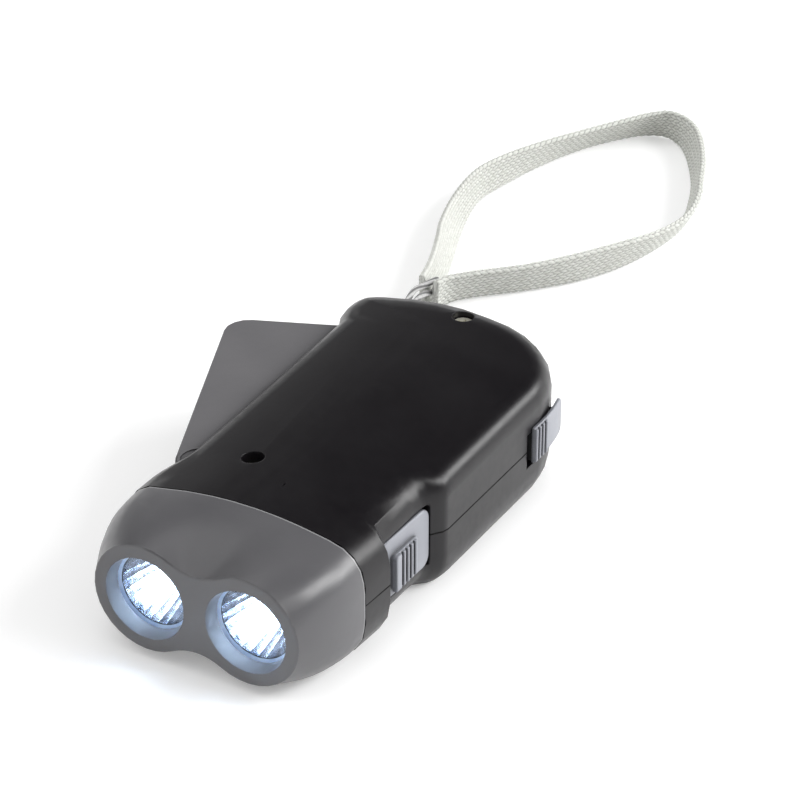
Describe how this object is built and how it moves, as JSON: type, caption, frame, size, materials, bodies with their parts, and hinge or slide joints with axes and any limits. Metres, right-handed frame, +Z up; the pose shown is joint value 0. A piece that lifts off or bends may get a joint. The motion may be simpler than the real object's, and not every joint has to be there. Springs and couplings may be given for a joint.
{
  "type": "hand crank flashlight",
  "caption": "Pocket torch with twin lamps, powered by a side lever that is squeezed to turn a geared generator, with a sliding switch, a sliding lever lock and a wrist strap.",
  "frame": {"origin": "middle of the flat underside of the lower casing, on the line midway between the lamps", "axes": "-Y towards the lamps, +X towards the two sliders, -X towards the lever, +Z up from the flat underside"},
  "size_m": [0.076, 0.2501, 0.0271],
  "materials": {
    "casing": "satin black",
    "head": "satin grey",
    "lever": "satin grey",
    "slider": "satin pale grey",
    "lens": "clear",
    "reflector": "bright plated",
    "bulb": "clear dome",
    "board": "green board",
    "switch": "black",
    "steel": "bright",
    "brass": "pale plated",
    "copper": "enamelled wire",
    "lead": "red insulation",
    "magnet": "dark ferrite",
    "nylon": "natural",
    "cloth": "plaited"
  },
  "bodies": {
    "housing": {"upper_casing": "casing", "lower_casing": "casing", "head_shell": "head", "lens_plate": "lens", "reflector": "reflector", "led_left": "bulb", "led_right": "bulb", "led_board": "board", "lever_pin": "steel", "first_shaft": "steel", "second_shaft": "steel", "gear_plate": "steel", "stator_core": "steel", "coil_bobbin": "nylon", "coil_winding": "copper", "circuit_board": "board", "switch_body": "switch", "battery_cell_1": "steel", "battery_cell_2": "steel", "battery_cell_3": "steel", "casing_screw_front": "brass", "casing_screw_rear": "brass", "plate_screw_1": "steel", "plate_screw_2": "steel", "plate_screw_3": "steel", "plate_screw_4": "steel", "stator_screw_1": "steel", "stator_screw_2": "steel", "lamp_lead_1": "lead", "lamp_lead_2": "lead", "cell_lead_1": "lead", "cell_lead_2": "lead", "coil_lead_1": "lead", "coil_lead_2": "lead", "lanyard_cord": "cloth", "wrist_strap": "cloth"},
    "lever": {"squeeze_lever": "lever", "lever_spring": "steel"},
    "first_gear": {"drive_pinion": "nylon", "first_wheel": "nylon"},
    "second_gear": {"second_gear": "nylon"},
    "rotor": {"rotor_pinion": "brass", "flywheel": "nylon", "ring_magnet": "magnet", "rotor_shaft": "steel"},
    "switch": {"switch_slider": "slider", "switch_knob": "switch"},
    "lock": {"lock_slider": "slider"}
  },
  "joints": [
    {"name": "lever_squeeze", "type": "hinge", "parent": "housing", "child": "lever", "pos_m": [-0.0204, -0.0203, 0.0132], "axis": [0, 0, -1], "range_deg": [0, 22], "stiffness_Nm_per_rad": 0.8, "springref_deg": -22.92},
    {"name": "first_gear_spin", "type": "hinge", "parent": "housing", "child": "first_gear", "pos_m": [0.00673, 0.02312, 0.0132], "axis": [0, 0, -1], "range_deg": [-214, 1]},
    {"name": "second_gear_spin", "type": "hinge", "parent": "housing", "child": "second_gear", "pos_m": [0.01293, 0.01147, 0.0132], "axis": [0, 0, -1], "range_deg": [-1, 569]},
    {"name": "rotor_spin", "type": "hinge", "parent": "housing", "child": "rotor", "pos_m": [0.00259, 0.0077, 0.0132], "axis": [0, 0, -1], "range_deg": [-1514, 1]},
    {"name": "switch_slide", "type": "slide", "parent": "housing", "child": "switch", "axis": [0, -1, 0], "range_m": [0, 0.002]},
    {"name": "lock_slide", "type": "slide", "parent": "housing", "child": "lock", "axis": [0, -1, 0], "range_m": [0, 0.0018]}
  ],
  "couplings": [
    {"joint": "first_gear_spin", "follows": "lever_squeeze", "ratio": -9.6667},
    {"joint": "second_gear_spin", "follows": "lever_squeeze", "ratio": 25.778},
    {"joint": "rotor_spin", "follows": "lever_squeeze", "ratio": -68.741}
  ]
}
